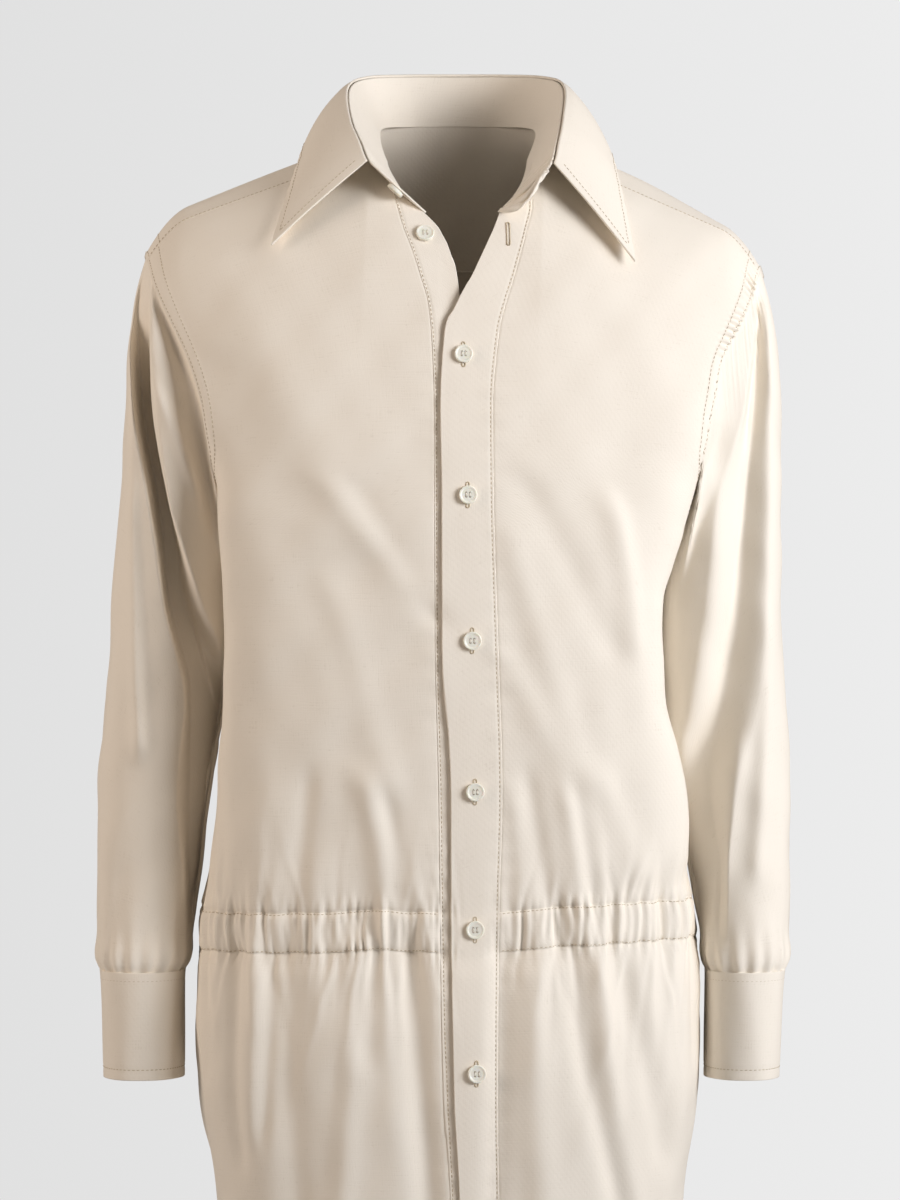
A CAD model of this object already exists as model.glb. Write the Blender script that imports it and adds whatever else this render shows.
import math

import bpy
import numpy as np
from mathutils import Matrix, Vector


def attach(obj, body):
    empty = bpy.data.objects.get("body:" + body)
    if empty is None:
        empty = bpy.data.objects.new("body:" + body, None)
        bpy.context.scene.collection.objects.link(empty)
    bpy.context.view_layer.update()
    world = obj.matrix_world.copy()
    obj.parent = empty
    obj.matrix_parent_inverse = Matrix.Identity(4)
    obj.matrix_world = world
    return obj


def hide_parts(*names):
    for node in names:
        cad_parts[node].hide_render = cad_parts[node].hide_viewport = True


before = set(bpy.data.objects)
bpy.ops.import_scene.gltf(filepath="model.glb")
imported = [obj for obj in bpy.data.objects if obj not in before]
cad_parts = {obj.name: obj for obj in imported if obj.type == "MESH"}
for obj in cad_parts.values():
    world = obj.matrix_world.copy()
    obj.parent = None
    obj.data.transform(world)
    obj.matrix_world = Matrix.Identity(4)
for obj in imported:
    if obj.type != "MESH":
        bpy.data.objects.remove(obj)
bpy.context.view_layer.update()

# The two fronts: each a panel of brushed cotton twill from the yoke seam to the waist casing,
# cut with a dropped shoulder, and sewn to a placket in front and to the back at the side.
# All the cloth is worked out in millimetres: -Y is the front and +X the dress's own left.

MM = 0.001
CLOTH = 1.2  # the wall of one layer
SEAM_GAP = 0.3  # half of it is left free on each side of a side seam
SEAM_LAP = 0.8  # one piece runs this far under the other at a stitched seam
SEAM_SINK = 0.45  # and lies this much lower there
GRID = 3.0  # the cloth's points are this far apart, unless a piece says otherwise
FRONT, BACK = -1, 1
RIGHT, LEFT = -1, 1
SIDES = (("right", RIGHT), ("left", LEFT))

NECK_HALF_WIDTH = 62  # to the side neck point
SHOULDER_SLOPES = {RIGHT: 0.385, LEFT: 0.45}
SHOULDER_TIP_START = 190  # beyond it the shoulder line turns down to the sleeve
SHOULDER_TIP_LENGTH = 32
SHOULDER_TIP_DROP = 25
UNDERARM = 285  # a drop below the shoulder ridge, as the next ones
CASING_TOP = 554
CASING_BOTTOM = 582
CASING_MIDDLE = (CASING_TOP + CASING_BOTTOM) / 2
CASING_HALF = (CASING_BOTTOM - CASING_TOP) / 2
HEM = 1000
SWAY = -7  # the lower dress hangs a little to the right
SWAY_LENGTH = 260
PLACKET_MIDDLE = 12  # the doubled plackets hold the cloth flat here
PLACKET_CALM = 22  # and this far to each side


def mix(a, b, share):
    return a + (b - a) * share


def smooth(start, end, value):
    share = np.clip((value - start) / (end - start), 0, 1)
    return share * share * (3 - 2 * share)


def hump(value, middle, width):
    return np.exp(-(((value - middle) / width) ** 2))


def table_reader(names, rows):
    """Gives a named column's value at any place of a table, on a smooth curve through its rows."""
    rows = np.array(rows, float)
    places, values = rows[:, 0], rows[:, 1:]
    steps = np.diff(places)[:, None]
    slopes = np.diff(values, axis=0) / steps
    before, after = slopes[:-1], slopes[1:]
    both = before + after
    level = (before * after <= 0) | (both == 0)
    inner = np.where(level, 0, 2 * before * after / np.where(both == 0, 1, both))
    tangents = np.vstack([slopes[:1], inner, slopes[-1:]])
    columns = {name: k for k, name in enumerate(names)}

    def read(name, place):
        place = np.clip(np.asarray(place, float), places[0], places[-1])
        k = np.clip(np.searchsorted(places, place, side="right") - 1, 0, len(places) - 2)
        width = places[k + 1] - places[k]
        t = (place - places[k]) / width
        column = columns[name]
        lift = 3 * t**2 - 2 * t**3
        return (
            mix(values[k, column], values[k + 1, column], lift)
            + tangents[k, column] * width * (t - 2 * t**2 + t**3)
            + tangents[k + 1, column] * width * (t**3 - t**2)
        )

    return read


# Rows of the body by their drop below the shoulder ridge: half the width, y at the side, the
# angle at which the row ends, y in the middle, and how far its corner stands out.
body = table_reader(
    ["half_width", "front_side", "back_side", "edge_angle", "front", "back", "front_corner", "back_corner"],
    [
        [0, 258.4, 0, 0, 55, 0, 0, 0, 0],
        [4, 257.3, -3, -1, 55, -15, 14, 0, 0],
        [15, 255, 0, -3, 55, -32, 29, 0, 0],
        [30, 252, 8, -5, 55, -50, 45, 0, 0],
        [60, 245, 12, -6, 55, -72, 68, 0, 0],
        [106, 229, 9, -11, 55, -93, 99, 2, 1],
        [142, 212.4, 2, -10, 55, -104, 107, 5, 3],
        [178, 196.2, -3, -7, 55, -112, 110, 10, 6],
        [217, 174, -2, -3, 58, -118, 110, 20, 11],
        [250, 159, 1, 1, 71, -121, 108, 27, 17],
        [285, 150, 3, 3, 90, -122, 106, 34, 22],
        [335, 144, 5, 5, 90, -121, 104, 37, 24],
        [391, 148, 5, 5, 90, -119, 102, 32, 20],
        [461, 157, 4, 4, 90, -116, 100, 24, 14],
        [530, 169, 2, 2, 90, -113, 98, 12, 8],
        [554, 174, 1, 1, 90, -112, 98, 4, 3],
        [582, 175, 1, 1, 90, -113, 99, 3, 3],
        [600, 178, 1, 1, 90, -117, 106, 3, 4],
        [640, 180, 0, 0, 90, -121, 117, 4, 5],
        [687, 177, 0, 0, 90, -122, 122, 4, 6],
        [756, 165, 0, 0, 90, -122, 125, 5, 8],
        [850, 159, 0, 0, 90, -124, 123, 5, 8],
        [1000, 158, 0, 0, 90, -126, 118, 5, 8],
    ],
)
ROUNDNESS = 0.75  # below 1 squares a row's corners
ROW_STEPS = 60

# Edges of the two plackets, as x in the front view, by drop.
placket_edges = table_reader(
    ["upper_free", "upper_stitch", "lower_free", "lower_stitch"],
    [
        [15, 49, 62, -49, -62],
        [30, 43, 53, -43, -51],
        [58, 32, 53, -26, -41],
        [72, 27, 50, -13, -37],
        [88, 20, 46, -4, -31],
        [110, 9.7, 40, 0, -24],
        [126, 0, 35, 2, -19.5],
        [147, -7, 30, 6, -17],
        [200, -10.2, 25.5, 14, -15],
        [265, -9.1, 26, 20, -14.5],
        [363, -9, 29, 24, -14],
        [470, -4.8, 32, 26, -11],
        [554, -4.6, 30, 26, -10],
        [682, -2.5, 29, 27, -8],
        [752, 2, 30, 29, -5],
        [1000, 6, 38, 35, 0],
    ],
)

# Folds, as soft ridges (lift above 0) and troughs (below 0). Each row gives x and z at the fold's
# top, middle and low end in the front view, its lift and width, and how much wider it is on its
# +X side.
BODY_FOLDS = [
    [-171, -107, -115, -209, -77, -285, 1.4, 22, 1.0],
    [-160, -179, -141, -217, -122, -255, -1.6, 18, 1.0],
    [-81, -262, -57, -292, -32, -322, 2.5, 11, 1.0],
    [-66, -266, -42, -303, -17, -341, -2.5, 10, 1.0],
    [-66, -465, -52, -497, -39, -529, 2.0, 10, 1.0],
    [111, -277, 120, -322, 124, -360, 3.5, 10, 0.8],
    [36, -292, 70, -398, 88, -454, 2.2, 11, 1.0],
    [52, -262, 80, -311, 104, -360, -2.6, 12, 1.0],
    [33, -379, 74, -454, 89, -511, 2.0, 11, 1.0],
    [104, -465, 116, -493, 127, -522, 2.0, 10, 1.0],
    [100, -150, 111, -187, 120, -225, -2.0, 25, 1.0],
    [-84, -335, -62, -405, -50, -460, 1.8, 12, 1.0],
    [-104, -470, -109, -520, -112, -556, -2.2, 7, 1.0],
    [-60, -470, -54, -520, -50, -556, 2.2, 8, 1.0],
    [-47, -480, -41, -520, -38, -556, -2.0, 7, 1.0],
    [40, -480, 44, -520, 47, -556, 1.6, 6, 1.0],
    [52, -470, 60, -520, 66, -556, -2.6, 7, 1.0],
    [78, -480, 85, -520, 90, -556, 2.0, 7, 1.0],
    [84, -475, 93, -525, 99, -556, -2.2, 7, 1.0],
]
SKIRT_FOLDS = [
    [-32, -582, -24, -680, -3, -1000, -7.0, 11, 0.8],
    [-57, -587, -62, -611, -64, -641, -3.0, 8, 1.0],
    [-67, -584, -74, -680, -88, -900, 4.0, 10, 1.0],
    [-117, -587, -118, -640, -110, -760, -3.5, 10, 1.0],
    [-139, -584, -141, -620, -143, -700, 3.0, 9, 1.0],
    [-154, -587, -156, -631, -152, -720, -3.0, 6, 1.0],
    [-129, -587, -131, -631, -134, -700, -3.0, 5, 1.0],
    [30, -587, 28, -654, 20, -900, -7.0, 9, 1.0],
    [52, -600, 56, -680, 66, -900, 3.5, 12, 1.0],
    [83, -587, 90, -640, 118, -760, -4.0, 9, 1.0],
    [98, -587, 105, -641, 124, -760, 3.5, 9, 1.0],
    [113, -591, 124, -624, 146, -720, -3.5, 9, 1.0],
]
FOLD_FADE = 28  # a fold dies out over this length at its ends


def fold_lift(folds, x, z):
    lift = np.zeros(np.broadcast(x, z).shape)
    for row in folds:
        x1, z1, x2, z2, x3, z3, height, width, slope = row
        place = (
            x1 * (z - z2) * (z - z3) / ((z1 - z2) * (z1 - z3))
            + x2 * (z - z1) * (z - z3) / ((z2 - z1) * (z2 - z3))
            + x3 * (z - z1) * (z - z2) / ((z3 - z1) * (z3 - z2))
        )
        slant = math.hypot(1, (x1 - x3) / (z1 - z3))
        away = (x - place) / slant
        away = away / np.where(away > 0, width * slope, width)
        fade = smooth(z1 + FOLD_FADE, z1, z) * smooth(z3 - FOLD_FADE, z3, z)
        lift = lift + height * fade * np.exp(-(away**2))
    return lift


# Broad waves that hang from the elastic: wave, height, reach above and below it, phase.
GATHER_WAVES = [
    [13, 0.7, 14, 20, 2.2],
    [22, 0.7, 25, 35, 0.7],
    [31, 0.6, 30, 45, 1.9],
    [53, 1.0, 90, 105, 4.1],
    [97, 1.5, 210, 210, 0.8],
]
GATHER_DRIFT = 137  # the waves open and close along this length
GATHER_SWELL = 61  # and grow and shrink along this one

# Short pleats which the elastic draws up at uneven places all round: place, width, height, reach
# above and below the casing, slant. Most reach only a little way, so the reach is drawn as a power.
PLEATS = 300
PLEAT_GIRTH = 545  # half the length round the dress
PLEAT_SHIFT = 4
PLEAT_WIDTHS = (1.3, 2.8)
PLEAT_HEIGHTS = (0.6, 2.1)
PLEAT_POWERS_UP = (1.0, 3.8)
PLEAT_POWERS_DOWN = (1.4, 4.6)
PLEAT_SLANT = 0.3
pleat_dice = np.random.default_rng(12)
pleat_table = np.stack([
    np.linspace(-PLEAT_GIRTH, PLEAT_GIRTH, PLEATS) + pleat_dice.uniform(-PLEAT_SHIFT, PLEAT_SHIFT, PLEATS),
    pleat_dice.uniform(*PLEAT_WIDTHS, PLEATS),
    pleat_dice.choice([-1, 1], PLEATS) * pleat_dice.uniform(*PLEAT_HEIGHTS, PLEATS),
    np.exp(pleat_dice.uniform(*PLEAT_POWERS_UP, PLEATS)),
    np.exp(pleat_dice.uniform(*PLEAT_POWERS_DOWN, PLEATS)),
    pleat_dice.uniform(-PLEAT_SLANT, PLEAT_SLANT, PLEATS),
], axis=-1)
PLEAT_SPREAD = 45  # a pleat is twice as wide this far from the elastic
PLEAT_BEND = 0.7  # and wavers this far to each side
PLEAT_BEND_LENGTH = 7
PLEAT_RANGE = (340, 790)  # no pleat reaches past these drops
DIMPLE_WAVE = 6.4  # dimples along the casing's two seams
DIMPLE_DEPTH = 1.2
DIMPLE_REACH = 8
FLUTE_WAVE = 118  # wide flutes of the hem
FLUTE_HEIGHT = 5
FLUTE_START = 640
RUMPLES = [  # broad unevenness of worn cloth: waves per metre across and down, height, phase
    [9.0, 5.0, 0.5, 0.3],
    [-14.0, 8.0, 0.35, 2.0],
    [6.0, -17.0, 0.3, 4.4],
    [23.0, 13.0, 0.16, 1.2],
    [-27.0, 21.0, 0.12, 5.0],
]


def gather_lift(along, drop):
    above = np.maximum(0, CASING_TOP - drop)
    below = np.maximum(0, drop - CASING_BOTTOM)
    lift = 0
    for wave, height, reach_up, reach_down, phase in GATHER_WAVES:
        drift = 0.9 * np.sin(2 * np.pi * along / GATHER_DRIFT + phase)
        swell = 0.75 + 0.35 * np.sin(2 * np.pi * along / GATHER_SWELL + 2.3 * phase)
        turn = 2 * np.pi * along / wave + phase + drift
        lift = lift + height * swell * np.cos(turn) * np.exp(-above / reach_up - below / reach_down)
    flutes = FLUTE_HEIGHT * np.cos(2 * np.pi * along / FLUTE_WAVE + 2.2)
    return lift + flutes * smooth(FLUTE_START, HEM, drop)


def dimple_lift(along, drop):
    """Close, uneven dimples where the elastic's stitching draws the cloth up."""
    turn = 2 * np.pi * along / DIMPLE_WAVE + 1.7 * np.sin(along / 9) + 2.1 * np.sin(along / 31)
    swell = 0.6 + 0.4 * np.sin(along / 13 + 1)
    reach = hump(drop, CASING_TOP, DIMPLE_REACH) + hump(drop, CASING_BOTTOM, DIMPLE_REACH)
    return DIMPLE_DEPTH * swell * np.sin(turn) * reach


def pleat_lift(along, drop):
    lift = np.zeros(drop.shape)
    near = (drop > PLEAT_RANGE[0]) & (drop < PLEAT_RANGE[1])
    along, drop = along[near], drop[near]
    above = np.maximum(0, CASING_TOP - drop)
    below = np.maximum(0, drop - CASING_BOTTOM)
    spread = 1 + (above + below) / PLEAT_SPREAD
    drawn_up = 0
    for place, width, height, reach_up, reach_down, slant in pleat_table:
        bend = PLEAT_BEND * np.sin(drop / PLEAT_BEND_LENGTH + place)
        away = (along - place - bend - slant * (below - above)) / (width * spread)
        drawn_up = drawn_up + height * np.exp(-(away**2) - above / reach_up - below / reach_down)
    lift[near] = drawn_up
    return lift


def rumple(x, z):
    lift = 0
    for across, down, height, phase in RUMPLES:
        lift = lift + height * np.sin(2 * np.pi * (across * x + down * z) * MM + phase)
    return lift


PINCH_DEPTH = 1.1  # stitching at the casing's edges draws the cloth in
PINCH_REACH = 2.2
PUFF = 0.8  # and the casing swells between them
CASING_RISE = 8  # the elastic sits this much higher at the left side than at the right one
CASING_WIDTH = 360
CASING_WAVER = 1.0  # and its line wavers by about this much
CASING_SHIFT_REACH = 50  # the cloth above and below follows it over this length
STITCH_DEPTH = 0.35
STITCH_GROOVE = 0.8
ARMHOLE_STITCHES = (1.6, 8.2)  # from the armhole edge
ARMHOLE_LEDGE = 0.5  # the seam's turned edge raises the cloth beside it
ARMHOLE_PUCKER = {RIGHT: 0.25, LEFT: 2.2}
BACK_PUCKER = 0.3  # it is weaker behind
PUCKER_START = (11, 24)  # the puckers grow over these drops
PUCKER_FADE = (90, 150)  # and fall off to a part of their height over these
PUCKER_REST = 0.4
PUCKER_WAVE = 7.4
PUCKER_END = 135  # no strong pucker lies below this drop
PUCKER_MIDDLE = 2.0  # from the armhole edge
PUCKER_REACH = 6.0
HEM_DEPTH = 20  # the hem is turned up this far
HEM_LEDGE = 0.5


def casing_lift(drop):
    """How the casing swells between its seams, and the turned hem stands out."""
    pinch = hump(drop, CASING_TOP, PINCH_REACH) + hump(drop, CASING_BOTTOM, PINCH_REACH)
    puff = np.clip(1 - ((drop - CASING_MIDDLE) / CASING_HALF) ** 2, 0, 1)
    hem_top = HEM - HEM_DEPTH
    ledge = HEM_LEDGE * smooth(hem_top - 3, hem_top - 1, drop)
    groove = STITCH_DEPTH * hump(drop, hem_top, STITCH_GROOVE)
    return PUFF * puff - PINCH_DEPTH * pinch + ledge - groove


def armhole_lift(face, side_share, from_edge, drop):
    """The doubled, stitched band beside an armhole, puckered where the seam pulls."""
    band = smooth(9.6, 8.4, from_edge)
    grooves = sum(hump(from_edge, stitch, STITCH_GROOVE) for stitch in ARMHOLE_STITCHES)
    lean = 0.14 * from_edge * (1 + 0.9 * np.sin(drop / 11))
    drift = 2.2 * np.sin(drop / 17) + 0.9 * np.sin(drop / 5.3 + 1) - lean
    wave = np.cos(2 * np.pi * drop / PUCKER_WAVE + drift)
    height = np.where(side_share < 0, ARMHOLE_PUCKER[RIGHT], ARMHOLE_PUCKER[LEFT])
    swell = 0.65 + 0.35 * np.sin(drop / 7.3 + 2 * np.sin(drop / 31))
    swell = mix(1, PUCKER_REST, smooth(*PUCKER_FADE, drop)) * swell
    pucker = height * swell * wave * hump(from_edge, PUCKER_MIDDLE, PUCKER_REACH)
    pucker = pucker * (smooth(*PUCKER_START, drop) if face == FRONT else BACK_PUCKER)
    fade = smooth(UNDERARM, UNDERARM - 20, drop)
    return (ARMHOLE_LEDGE * band - STITCH_DEPTH * grooves + pucker) * fade


# How far the cloth stands out at the body's two edges, and at the corner of its left front.
EDGE_COLUMNS = ("right", "left", "left_corner")
edge_shift = table_reader(EDGE_COLUMNS, [
    [30, 0, 0, 0],
    [70, 0, 2.5, 0],
    [125, -3, 3, 0],
    [172, -4.5, 9, 0],
    [194, -4, 11, 0],
    [214, -3.5, 12, 0],
    [254, -2, 12, 2],
    [285, 0, 10, 4],
    [310, 0, 2, 0],
    [335, 0, -4, -5],
    [407, 0, -5, -1],
    [440, 0, -2, 4],
    [479, 0, 1, 8],
    [515, 0, 0, 6],
    [545, 0, 0, 0],
    [575, 0, 2.5, 0],
    [600, 0, 3, 0],
    [640, 0, 2, 0],
    [690, 0, 4.5, 0],
    [1000, 0, 5, 0],
])
EDGE_SHARE = 0.55  # from this share of a row on, the cloth follows its edge
CORNER_SHARE = 0.74
CORNER_REACH = 0.16


def shifted_edge(face, share, drop):
    right = -edge_shift("right", drop) * smooth(-EDGE_SHARE, -1, share)
    left = edge_shift("left", drop) * smooth(EDGE_SHARE, 1, share)
    at_corner = hump(share, CORNER_SHARE, CORNER_REACH) if face == FRONT else 0
    return right + left + edge_shift("left_corner", drop) * at_corner


def casing_shift(x, along):
    """How much higher the casing sits than its drop says."""
    broad = np.sin(along / 19 + 2 * np.sin(along / 47))
    fine = 0.5 * np.sin(along / 5.3 + 3 * np.sin(along / 23))
    return CASING_RISE * (x / CASING_WIDTH + 0.5) + CASING_WAVER * (broad + fine)


def body_row(face, drop, angle):
    front = face == FRONT
    side_y = body("front_side" if front else "back_side", drop)
    middle_y = body("front" if front else "back", drop)
    corner = body("front_corner" if front else "back_corner", drop)
    across = np.sin(np.abs(angle)) ** ROUNDNESS
    depth = np.maximum(0, np.cos(angle)) ** ROUNDNESS
    x = body("half_width", drop) * across + corner * np.sin(2 * angle) ** 2
    return np.where(angle < 0, -x, x), mix(side_y, middle_y, depth)


def row_lengths(face, drop):
    """Lengths from the middle along the rows at these drops, and x there."""
    drop = np.asarray(drop, float)
    ramp = np.linspace(0, 1, ROW_STEPS + 1).reshape(-1, *[1] * drop.ndim)
    x, y = body_row(face, drop, np.radians(body("edge_angle", drop)) * ramp)
    pieces = np.hypot(np.diff(x, axis=0), np.diff(y, axis=0))
    return np.concatenate([np.zeros_like(x[:1]), np.cumsum(pieces, axis=0)]), x


def look_up(table, goal):
    """The place, in steps, at which a rising table reaches goal."""
    k = np.clip((table[1:] < goal).sum(axis=0), 0, ROW_STEPS - 1)
    low = np.take_along_axis(table, k[None], 0)[0]
    high = np.take_along_axis(table, k[None] + 1, 0)[0]
    return k, (goal - low) / (high - low)


def sway_at(z):
    return SWAY * smooth(0, -SWAY_LENGTH, z)


def share_at_x(drop, x):
    """The share of a front row at x in the front view."""
    drop, x = np.broadcast_arrays(np.asarray(drop, float), x)
    lengths, places = row_lengths(FRONT, drop)
    x = x - sway_at(-drop)
    k, part = look_up(places, np.abs(x))
    low = np.take_along_axis(lengths, k[None], 0)[0]
    high = np.take_along_axis(lengths, k[None] + 1, 0)[0]
    return np.sign(x) * mix(low, high, part) / lengths[-1]


def shoulder_line(x):
    slope = np.where(x < 0, SHOULDER_SLOPES[RIGHT], SHOULDER_SLOPES[LEFT])
    beyond_neck = np.maximum(0, np.abs(x) - NECK_HALF_WIDTH)
    beyond_tip = np.maximum(0, np.abs(x) - SHOULDER_TIP_START) / SHOULDER_TIP_LENGTH
    return -slope * beyond_neck - SHOULDER_TIP_DROP * beyond_tip**2


def body_points(face, share, drop, lift=0.0, plain=False):
    """Points of the front or back: share runs from -1 at the right edge to 1 at the left one."""
    share, drop = np.broadcast_arrays(np.asarray(share, float), np.asarray(drop, float))
    lengths, _ = row_lengths(face, drop)
    total = lengths[-1]
    k, part = look_up(lengths, np.minimum(1, np.abs(share)) * total)
    edge_angle = np.radians(body("edge_angle", drop))
    angle = np.sign(share) * edge_angle * (k + part) / ROW_STEPS
    x, y = body_row(face, drop, angle)
    step = 1e-4
    x2, y2 = body_row(face, drop, np.minimum(angle + step, edge_angle))
    x1, y1 = body_row(face, drop, np.maximum(angle - step, -edge_angle))
    normal_x, normal_y = -face * (y2 - y1), face * (x2 - x1)
    size = np.hypot(normal_x, normal_y)
    z = -drop + np.maximum(0, 1 - drop / UNDERARM) * shoulder_line(x)
    x = x + sway_at(z) + shifted_edge(face, share, drop)

    front_total = row_lengths(FRONT, np.maximum(drop, UNDERARM))[0][-1]
    around = front_total + (1 - np.abs(share)) * total
    along = share * total if face == FRONT else np.sign(share) * around
    beside = (x - PLACKET_MIDDLE) / PLACKET_CALM
    calm = np.exp(-(beside**2)) if face == FRONT else 0
    z = z + casing_shift(x, along) * (1 - calm) * hump(drop, CASING_MIDDLE, CASING_SHIFT_REACH)
    view_x = x if face == FRONT else -x
    folds = fold_lift(BODY_FOLDS, view_x, z) + fold_lift(SKIRT_FOLDS, view_x, z)
    wave = folds * (1 - 0.75 * calm) * smooth(1, 0.9, np.abs(share))
    wave = wave + gather_lift(along, drop) * (1 - calm)
    if not plain:
        from_edge = (1 - np.abs(share)) * total
        drawn_up = casing_lift(drop) + pleat_lift(along, drop) + dimple_lift(along, drop)
        wave = wave + (rumple(along, z) + drawn_up) * (1 - calm)
        wave = wave + armhole_lift(face, share, from_edge, drop)
    out = lift + wave
    return np.stack([x + normal_x / size * out, y + normal_y / size * out, z], axis=-1)


PLACKET_PUCKER = 0.4
PLACKET_PUCKER_WAVE = 17
PLACKET_PUCKER_REACH = 9


def placket_seam_lift(from_seam, drop):
    """Puckers across a placket's stitching, which run out on both sides of it."""
    wave = np.cos(2 * np.pi * drop / PLACKET_PUCKER_WAVE + 1.3 * np.sin(drop / 41))
    swell = 0.65 + 0.35 * np.sin(drop / 29 + 1)
    return PLACKET_PUCKER * wave * swell * np.exp(-((from_seam / PLACKET_PUCKER_REACH) ** 2))


def front_edge_share(side, drop):
    x = placket_edges("upper_stitch" if side == LEFT else "lower_stitch", drop)
    return share_at_x(drop, x - side * SEAM_LAP)


ARMHOLE_STEPS = 13


def armhole_drop(step):
    """The drop at one of the even steps from the shoulder to under the arm."""
    return UNDERARM * (1 - np.cos(np.pi * np.asarray(step, float) / ARMHOLE_STEPS)) / 2


YOKE_FRONT = armhole_drop(2)
NECK_STITCH_DROP = armhole_drop(3)  # where the plackets' stitched edges meet the neck seam
NECK_FRONT_DROP = armhole_drop(4)  # where their free edges do
YOKE_BACK = armhole_drop(5)


def tuck(drop, edge):
    """How a panel sinks where it runs under the piece above it."""
    return -SEAM_SINK * smooth(edge + 1.0, edge, drop)


def seam_trim(face, drop):
    return SEAM_GAP / 2 / row_lengths(face, drop)[0][-1]


def front_surface(side):
    def surface(u, drop, lift=0.0):
        start = front_edge_share(side, drop)
        end = side * (1 - seam_trim(FRONT, drop))
        from_seam = u * np.abs(end - start) * row_lengths(FRONT, drop)[0][-1] - SEAM_LAP
        lift = lift + placket_seam_lift(from_seam, drop) + tuck(from_seam, 0)
        return body_points(FRONT, mix(start, end, u), drop, lift + tuck(drop, YOKE_FRONT))

    return surface


EDGE_STEPS = (0, 0.7, 1.6, 2.6, 4.0)  # closer points beside an edge, in millimetres


def spaced(start, end, step=GRID, close_start=True, close_end=True):
    """Even places from start to end, in millimetres, with closer ones at the ends."""
    count = max(2, int(round((end - start) / step)))
    places = set(np.linspace(start, end, count + 1)[1:-1])
    near_start = [start + away for away in EDGE_STEPS] if close_start else [start]
    near_end = [end - away for away in EDGE_STEPS] if close_end else [end]
    reach = EDGE_STEPS[-1] + step / 2
    low = start + reach if close_start else start
    high = end - reach if close_end else end
    return np.array(sorted(near_start + [p for p in places if low < p < high] + near_end))


def shares(length, step=GRID, **close):
    return spaced(0, length, step, **close) / length


def outward_normals(points, inside, ring=False):
    """Normals of a grid of points, turned away from a place behind the cloth."""
    if ring:
        wrapped = np.concatenate([points[:, -2:-1], points, points[:, 1:2]], axis=1)
        along = (wrapped[:, 2:] - wrapped[:, :-2])
    else:
        along = np.gradient(points, axis=1)
    down = np.gradient(points, axis=0)
    normals = np.cross(along, down)
    normals /= np.linalg.norm(normals, axis=-1, keepdims=True)
    middle = (points.shape[0] // 2, points.shape[1] // 2)
    away = points[middle] - np.array(inside, float)
    sign = 1 if np.dot(normals[middle], away) > 0 else -1
    return normals * sign, sign


def cloth_uv(points):
    """Lengths along the cloth, in metres, for the weave to follow."""
    across = np.linalg.norm(np.diff(points, axis=1), axis=-1)
    across = np.concatenate([np.zeros_like(across[:, :1]), np.cumsum(across, axis=1)], axis=1)
    across = across - across[:, across.shape[1] // 2][:, None]
    down = np.linalg.norm(np.diff(points, axis=0), axis=-1).mean(axis=1)
    down = np.concatenate([[0], np.cumsum(down)])
    return np.stack([across, np.broadcast_to(-down[:, None], across.shape)], axis=-1) * MM


def smooth_mesh(name, verts, faces):
    """A mesh of points in millimetres, shaded smooth."""
    mesh = bpy.data.meshes.new(name)
    mesh.from_pydata((np.asarray(verts) * MM).tolist(), [], faces)
    mesh.polygons.foreach_set("use_smooth", np.ones(len(faces), bool))
    mesh.update()
    return mesh


def add_object(name, data):
    added = bpy.data.objects.new(name, data)
    bpy.context.collection.objects.link(added)
    return added


def cloth_wall(name, points, inside, thickness=CLOTH, ring=False):
    """A closed wall of cloth under a grid of outer points, with its rims, as a new object."""
    normals, sign = outward_normals(points, inside, ring)
    inner = points - normals * thickness
    uv = cloth_uv(points)
    rows, columns = points.shape[:2]
    kept = columns - 1 if ring else columns
    verts = np.concatenate([points[:, :kept].reshape(-1, 3), inner[:, :kept].reshape(-1, 3)])
    row, column = np.meshgrid(np.arange(rows - 1), np.arange(columns - 1), indexing="ij")
    row, column = row.ravel(), column.ravel()
    corners = []

    def quads(*places):
        """Each place is (layer, row, column); the faces turn with the wall's outside."""
        places = [np.broadcast_arrays(*place) for place in places]
        if sign > 0:
            places = [places[0], places[3], places[2], places[1]]
        corners.append(np.stack([np.stack(place, -1) for place in places], axis=1))

    quads((0, row, column), (0, row + 1, column), (0, row + 1, column + 1), (0, row, column + 1))
    quads((1, row, column), (1, row, column + 1), (1, row + 1, column + 1), (1, row + 1, column))
    column = np.arange(columns - 1)
    last = rows - 1
    quads((0, 0, column), (0, 0, column + 1), (1, 0, column + 1), (1, 0, column))
    quads((0, last, column), (1, last, column), (1, last, column + 1), (0, last, column + 1))
    if not ring:
        row = np.arange(rows - 1)
        last = columns - 1
        quads((0, row, 0), (1, row, 0), (1, row + 1, 0), (0, row + 1, 0))
        quads((0, row, last), (0, row + 1, last), (1, row + 1, last), (1, row, last))
    corners = np.concatenate(corners)
    layer, row, column = corners[..., 0], corners[..., 1], corners[..., 2]
    faces = (layer * rows + row) * kept + column % kept
    mesh = smooth_mesh(name, verts, faces.tolist())
    weave = mesh.uv_layers.new(name="weave")
    weave.data.foreach_set("uv", uv[row, column].ravel())
    return add_object(name, mesh)


def linear(hex_colour):
    """An sRGB hex colour as the linear one that a shader takes."""
    values = [int(hex_colour[k : k + 2], 16) / 255 for k in (1, 3, 5)]
    return [v / 12.92 if v <= 0.04045 else ((v + 0.055) / 1.055) ** 2.4 for v in values] + [1.0]


def node(tree, kind, settings=None, links=None, **values):
    """Adds one shader node: its own settings, its sockets' values, and links into its sockets."""
    new = tree.nodes.new(kind)
    for name, value in (settings or {}).items():
        setattr(new, name, value)
    for name, value in values.items():
        new.inputs[name.replace("_", " ")].default_value = value
    for name, source in (links or {}).items():
        tree.links.new(source, new.inputs[name])
    return new


def new_material(name):
    material = bpy.data.materials.new(name)
    material.use_nodes = True
    material.node_tree.nodes.clear()
    return material, material.node_tree


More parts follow.
